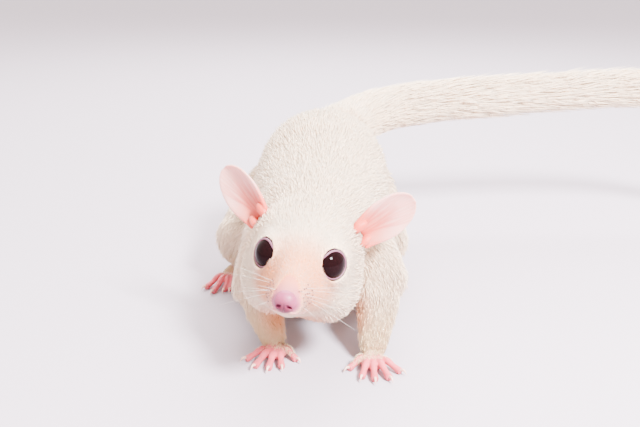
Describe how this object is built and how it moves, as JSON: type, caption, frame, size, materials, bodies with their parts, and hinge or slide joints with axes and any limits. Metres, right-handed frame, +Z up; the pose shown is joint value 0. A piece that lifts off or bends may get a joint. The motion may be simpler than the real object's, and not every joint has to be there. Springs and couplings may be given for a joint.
{
  "type": "sugar glider",
  "caption": "Life-size white sugar glider crouched on all fours, head lifted, with its long bushy tail held out to the side.",
  "frame": {"origin": "on the floor, under the middle of the animal's bounding box, tail included", "axes": "+X to the animal's left, along which the tail is held out; -Y the way the nose points; +Z up"},
  "size_m": [0.2138, 0.1504, 0.0636],
  "materials": {
    "coat": "matt, short dense fur",
    "skin": "bare, soft, slightly moist",
    "eye": "wet gloss"
  },
  "bodies": {
    "root": {"head": "coat", "neck": "coat", "torso": "coat", "eye_left": "eye", "ear_left": "skin", "upper_arm_left": "coat", "forearm_left": "coat", "hand_left": "skin", "thigh_left": "coat", "lower_leg_left": "coat", "foot_left": "skin", "membrane_left": "coat", "eye_right": "eye", "ear_right": "skin", "upper_arm_right": "coat", "forearm_right": "coat", "hand_right": "skin", "thigh_right": "coat", "lower_leg_right": "coat", "foot_right": "skin", "membrane_right": "coat", "tail_base": "coat", "tail_middle": "coat", "tail_tip": "coat"}
  },
  "joints": []
}
